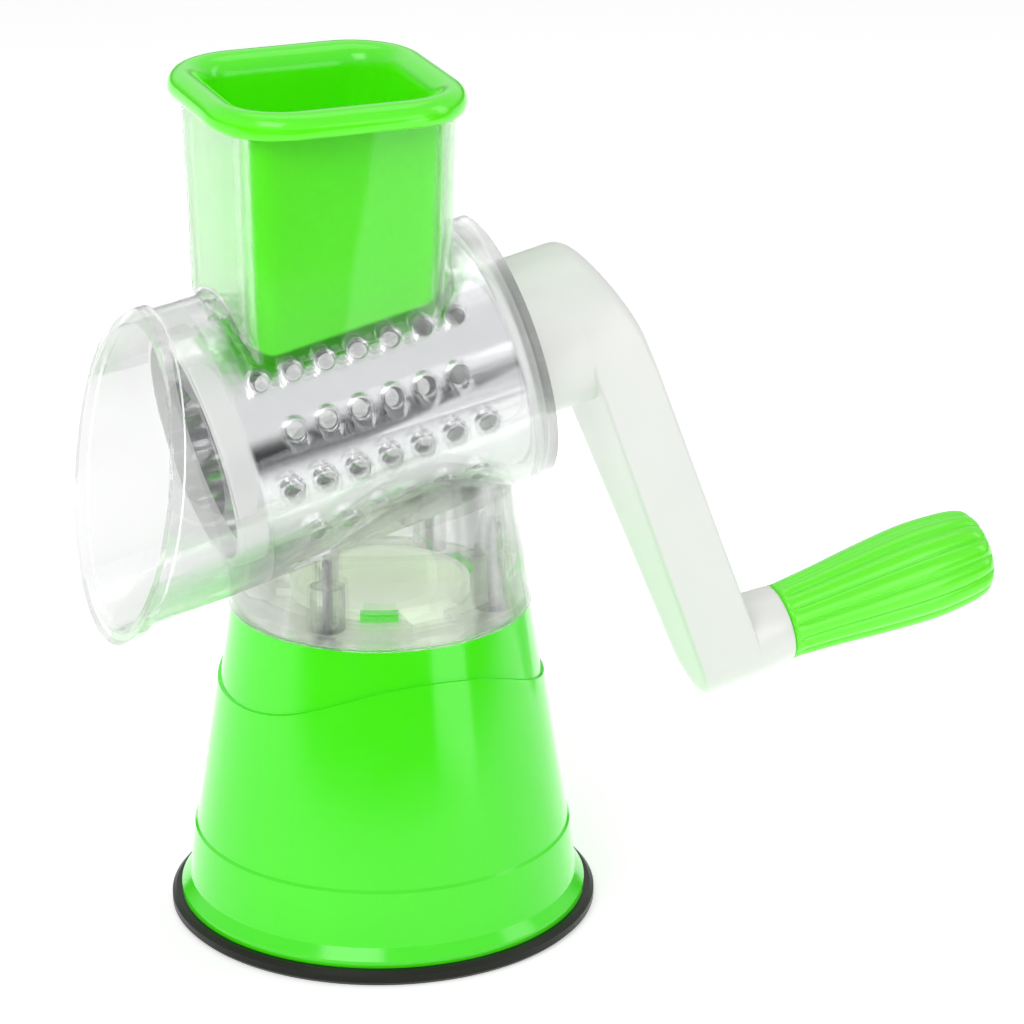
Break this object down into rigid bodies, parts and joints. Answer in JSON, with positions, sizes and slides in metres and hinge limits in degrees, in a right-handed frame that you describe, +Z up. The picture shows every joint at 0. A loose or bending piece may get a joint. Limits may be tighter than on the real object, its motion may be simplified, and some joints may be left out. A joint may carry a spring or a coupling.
{
  "type": "rotary drum grater",
  "caption": "Hand cranked tabletop vegetable shredder: a clear barrel with feed chute and pusher, a perforated steel drum, and a suction base.",
  "frame": {"origin": "on the underside of the suction pad, at its middle", "axes": "+Z up, +X towards the crank, the outlet faces -X, the suction lever faces +Y"},
  "size_m": [0.2799, 0.1259, 0.2526],
  "materials": {
    "pad_rubber": "matt black",
    "base_green": "gloss bright green",
    "lock_pale": "pale translucent moulding",
    "inner_grey": "moulded grey",
    "screw_steel": "plain",
    "lever_white": "satin white",
    "clear_plastic": "clear moulded plastic",
    "bush_white": "satin white",
    "drum_steel": "punched sheet",
    "drum_white": "satin white",
    "crank_white": "satin white",
    "grip_green": "gloss light green",
    "pusher_green": "gloss bright green"
  },
  "bodies": {
    "base": {"suction_pad": "pad_rubber", "base_shell": "base_green", "lock_plate": "lock_pale", "lock_tabs": "base_green", "mechanism_plate": "inner_grey", "plate_screws": "screw_steel"},
    "stem": {"suction_stem": "inner_grey"},
    "lever": {"suction_lever": "lever_white", "lever_clip": "screw_steel"},
    "housing": {"housing": "clear_plastic", "base_adapter": "clear_plastic", "adapter_screws": "screw_steel", "rear_bearing": "bush_white"},
    "crank": {"crank": "crank_white", "handle_pin": "screw_steel", "shaft_clip": "screw_steel"},
    "drum": {"drum": "drum_steel", "drum_front_ring": "drum_white", "drum_rear_disc": "drum_white"},
    "grip": {"grip": "grip_green", "grip_cap": "grip_green"},
    "pusher": {"pusher": "pusher_green"}
  },
  "joints": [
    {"name": "lever_turn", "type": "hinge", "parent": "base", "child": "lever", "pos_m": [0, 0.03, 0.034], "axis": [0, -1, 0], "range_deg": [0, 90]},
    {"name": "stem_lift", "type": "slide", "parent": "base", "child": "stem", "axis": [0, 0, 1], "range_m": [0, 0.0025]},
    {"name": "housing_lock", "type": "hinge", "parent": "base", "child": "housing", "pos_m": [0, 0, 0.095], "axis": [0, 0, -1], "range_deg": [0, 30]},
    {"name": "crank_turn", "type": "hinge", "parent": "housing", "child": "crank", "pos_m": [0, 0, 0.1592], "axis": [0.9769, 0, 0.2137], "continuous": true},
    {"name": "drum_pull", "type": "slide", "parent": "crank", "child": "drum", "axis": [-0.9769, 0, -0.2137], "range_m": [0, 0.12]},
    {"name": "grip_turn", "type": "hinge", "parent": "crank", "child": "grip", "pos_m": [0.02479, 0, 0.04588], "axis": [0.9769, 0, 0.2137], "continuous": true},
    {"name": "pusher_lift", "type": "slide", "parent": "housing", "child": "pusher", "axis": [0, 0, 1], "range_m": [0, 0.07]}
  ],
  "couplings": [
    {"joint": "stem_lift", "follows": "lever_turn", "m_per_rad": 0.0015915}
  ]
}
